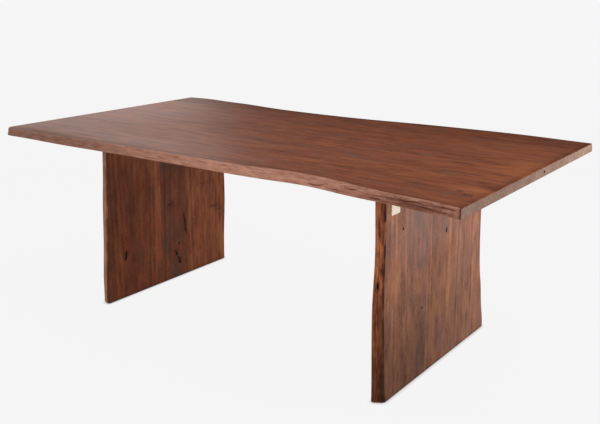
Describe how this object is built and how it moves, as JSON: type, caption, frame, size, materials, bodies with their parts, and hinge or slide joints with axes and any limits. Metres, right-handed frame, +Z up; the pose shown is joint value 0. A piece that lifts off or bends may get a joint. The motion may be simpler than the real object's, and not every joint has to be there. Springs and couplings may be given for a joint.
{
  "type": "live edge dining table",
  "caption": "Dining table with a glued-up wooden slab top on slab legs, natural edges front and back, hidden steel angle brackets and screw-out levelling feet.",
  "frame": {"origin": "on the floor below the middle of the whole table", "axes": "+X along the length towards the labelled leg, +Y to the back, +Z up"},
  "size_m": [2.032, 1.1479, 0.752],
  "materials": {
    "acacia_top": "stained and satin lacquered",
    "acacia_left_leg": "stained and satin lacquered",
    "acacia_right_leg": "stained and satin lacquered",
    "dark_filler": "dark filler, a little below the wood",
    "beech_dowel": "bare",
    "black_steel": "black powder coat",
    "zinc_steel": "zinc plated",
    "nylon": "moulded black nylon",
    "label_ivory": "blank ivory plate, satin"
  },
  "bodies": {
    "table": {"blank_label": "label_ivory", "left_angle_bracket": "black_steel", "left_bracket_leg_screws": "zinc_steel", "left_bracket_top_screws": "zinc_steel", "left_bracket_washers": "zinc_steel", "left_leg_back_live_board": "acacia_left_leg", "left_leg_board_2": "acacia_left_leg", "left_leg_board_3": "acacia_left_leg", "left_leg_board_4": "acacia_left_leg", "left_leg_crack_fills": "dark_filler", "left_leg_edge_dowels": "beech_dowel", "left_leg_front_live_board": "acacia_left_leg", "left_leg_inserts": "zinc_steel", "left_leveller_inserts": "zinc_steel", "left_top_inserts": "zinc_steel", "right_angle_bracket": "black_steel", "right_bracket_leg_screws": "zinc_steel", "right_bracket_top_screws": "zinc_steel", "right_bracket_washers": "zinc_steel", "right_leg_back_live_board": "acacia_right_leg", "right_leg_board_2": "acacia_right_leg", "right_leg_board_3": "acacia_right_leg", "right_leg_board_4": "acacia_right_leg", "right_leg_edge_dowels": "beech_dowel", "right_leg_front_live_board": "acacia_right_leg", "right_leg_inserts": "zinc_steel", "right_leg_knot_fills": "dark_filler", "right_leveller_inserts": "zinc_steel", "right_top_inserts": "zinc_steel", "top_back_live_board": "acacia_top", "top_board_2": "acacia_top", "top_board_3": "acacia_top", "top_board_4": "acacia_top", "top_board_5": "acacia_top", "top_board_6": "acacia_top", "top_edge_dowels": "beech_dowel", "top_front_live_board": "acacia_top", "top_knot_fills": "dark_filler"},
    "front_left_leveller": {"front_left_leveller_stud": "zinc_steel", "front_left_leveller_pad": "nylon"},
    "back_left_leveller": {"back_left_leveller_stud": "zinc_steel", "back_left_leveller_pad": "nylon"},
    "front_right_leveller": {"front_right_leveller_stud": "zinc_steel", "front_right_leveller_pad": "nylon"},
    "back_right_leveller": {"back_right_leveller_stud": "zinc_steel", "back_right_leveller_pad": "nylon"}
  },
  "joints": [
    {"name": "front_left_leveller_screw", "type": "slide", "parent": "table", "child": "front_left_leveller", "axis": [0, 0, -1], "range_m": [0, 0.01]},
    {"name": "back_left_leveller_screw", "type": "slide", "parent": "table", "child": "back_left_leveller", "axis": [0, 0, -1], "range_m": [0, 0.01]},
    {"name": "front_right_leveller_screw", "type": "slide", "parent": "table", "child": "front_right_leveller", "axis": [0, 0, -1], "range_m": [0, 0.01]},
    {"name": "back_right_leveller_screw", "type": "slide", "parent": "table", "child": "back_right_leveller", "axis": [0, 0, -1], "range_m": [0, 0.01]}
  ]
}
